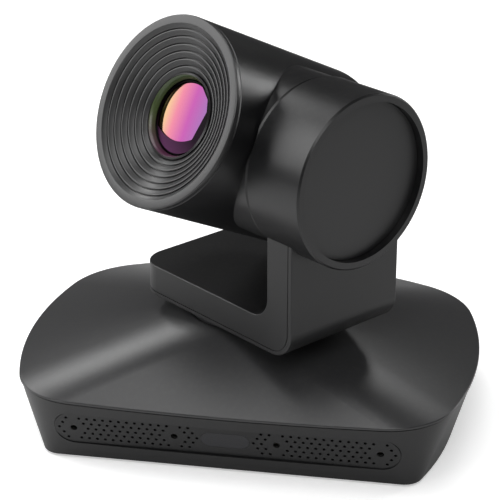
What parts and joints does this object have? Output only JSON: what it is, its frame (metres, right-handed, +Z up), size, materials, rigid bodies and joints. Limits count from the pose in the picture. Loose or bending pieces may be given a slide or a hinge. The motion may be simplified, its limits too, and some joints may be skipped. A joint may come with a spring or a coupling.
{
  "type": "pan-tilt-zoom camera",
  "caption": "Motorised pan-tilt-zoom conference camera: a lens barrel on a side-mounted tilt drum and L-shaped yoke, over a wide base with a microphone strip.",
  "frame": {"origin": "mouth of the tripod socket in the underside of the base, on the pan axis", "axes": "+Z up along the pan axis, -Y towards the base's front (the microphone strip), +X to the right seen from the front"},
  "size_m": [0.218, 0.1861, 0.2053],
  "materials": {
    "base_shell": "fine matte moulded plastic",
    "base_cover": "satin moulded plastic, soft radial highlights",
    "grille": "matte painted perforated strip",
    "dark_window": "infrared-transparent dark plastic",
    "yoke_shell": "matte moulded plastic",
    "yoke_skin": "matte moulded plastic",
    "drum_shell": "fine spark-eroded grain",
    "cap_face": "matte moulded plastic",
    "head_shell": "fine spark-eroded grain",
    "hood": "matte grey stepped hood",
    "lens_ring": "black anodised ring",
    "coated_glass": "multi-coated glass, amber to magenta reflections",
    "inner_glass": "clear optical glass",
    "sensor_glass": "sensor under cover glass",
    "tube_black": "flocked black plastic",
    "hub_black": "matte black plastic",
    "gear_nylon": "natural acetal",
    "nylon": "natural nylon",
    "chip_black": "moulded epoxy",
    "panel_black": "powder-coated sheet",
    "circuit_board": "green solder mask",
    "steel_plate": "black coated sheet steel",
    "motor_can": "zinc-plated can",
    "bearing_steel": "ground bearing steel",
    "screw_steel": "zinc-plated screws",
    "socket_metal": "nickel-plated shells",
    "capsule_metal": "microphone cans",
    "aluminium": "bare aluminium",
    "brass": "turned brass",
    "rubber": "soft rubber"
  },
  "bodies": {
    "base": {"base_housing": "base_shell", "top_cover": "base_cover", "bottom_plate": "steel_plate", "tripod_insert": "brass", "rubber_feet": "rubber", "base_screws": "screw_steel", "mic_grille": "grille", "infrared_window": "dark_window", "mic_board": "circuit_board", "mic_capsules": "capsule_metal", "infrared_receiver": "chip_black", "main_board": "circuit_board", "board_standoffs": "nylon", "processor": "chip_black", "heat_sink": "aluminium", "connector_panel": "panel_black", "power_jack": "chip_black", "hdmi_socket": "socket_metal", "usb_socket": "socket_metal", "network_socket": "socket_metal", "pan_chassis": "steel_plate", "chassis_pillars": "screw_steel", "pan_bearing_outer_ring": "bearing_steel", "pan_bearing_balls": "bearing_steel", "pan_motor": "motor_can"},
    "pan_rotor": {"pan_motor_shaft": "bearing_steel", "pan_pinion": "brass"},
    "yoke": {"pan_hub": "hub_black", "pan_gear": "gear_nylon", "pan_bearing_inner_ring": "bearing_steel", "pan_circlip": "screw_steel", "hub_screws": "screw_steel", "yoke_frame": "yoke_shell", "yoke_cover": "yoke_skin", "saddle_screws": "screw_steel", "tilt_housing": "drum_shell", "tilt_end_cap": "cap_face", "tilt_bearing_outer_ring": "bearing_steel", "tilt_chassis": "steel_plate", "tilt_motor": "motor_can"},
    "tilt_rotor": {"tilt_motor_shaft": "bearing_steel", "tilt_pinion": "brass"},
    "head": {"head_housing": "head_shell", "tilt_shaft": "bearing_steel", "tilt_gear": "gear_nylon", "tilt_bearing_inner_ring": "bearing_steel", "tilt_circlip": "screw_steel", "flange_screws": "screw_steel", "front_hood": "hood", "lens_retaining_ring": "lens_ring", "front_lens": "coated_glass", "lens_tube": "tube_black", "camera_chassis": "aluminium", "guide_rods": "bearing_steel", "sensor_board": "circuit_board", "image_sensor": "sensor_glass"},
    "zoom_group": {"zoom_group_carrier": "tube_black", "zoom_group_lens": "inner_glass"},
    "focus_group": {"focus_group_carrier": "tube_black", "focus_group_lens": "inner_glass"}
  },
  "joints": [
    {"name": "pan", "type": "hinge", "parent": "base", "child": "yoke", "pos_m": [0, 0, 0.0609], "axis": [0, 0, 1], "range_deg": [-131.4, 208.6]},
    {"name": "tilt", "type": "hinge", "parent": "yoke", "child": "head", "pos_m": [0, 0, 0.1419], "axis": [-0.7815, 0.6239, 0], "range_deg": [-56.1, 63.9]},
    {"name": "pan_pinion_spin", "type": "hinge", "parent": "base", "child": "pan_rotor", "pos_m": [0, 0.036, 0.044], "axis": [0, 0, 1], "range_deg": [-836, 527]},
    {"name": "tilt_pinion_spin", "type": "hinge", "parent": "yoke", "child": "tilt_rotor", "pos_m": [0, 0, 0.16465], "axis": [-0.7815, 0.6239, 0], "range_deg": [-182, 160]},
    {"name": "zoom_travel", "type": "slide", "parent": "head", "child": "zoom_group", "axis": [-0.5603, -0.7018, 0.4399], "range_m": [-0.008, 0.014]},
    {"name": "focus_travel", "type": "slide", "parent": "head", "child": "focus_group", "axis": [-0.5603, -0.7018, 0.4399], "range_m": [-0.006, 0.008]}
  ],
  "couplings": [
    {"joint": "pan_pinion_spin", "follows": "pan", "ratio": -4},
    {"joint": "tilt_pinion_spin", "follows": "tilt", "ratio": -2.8235}
  ]
}
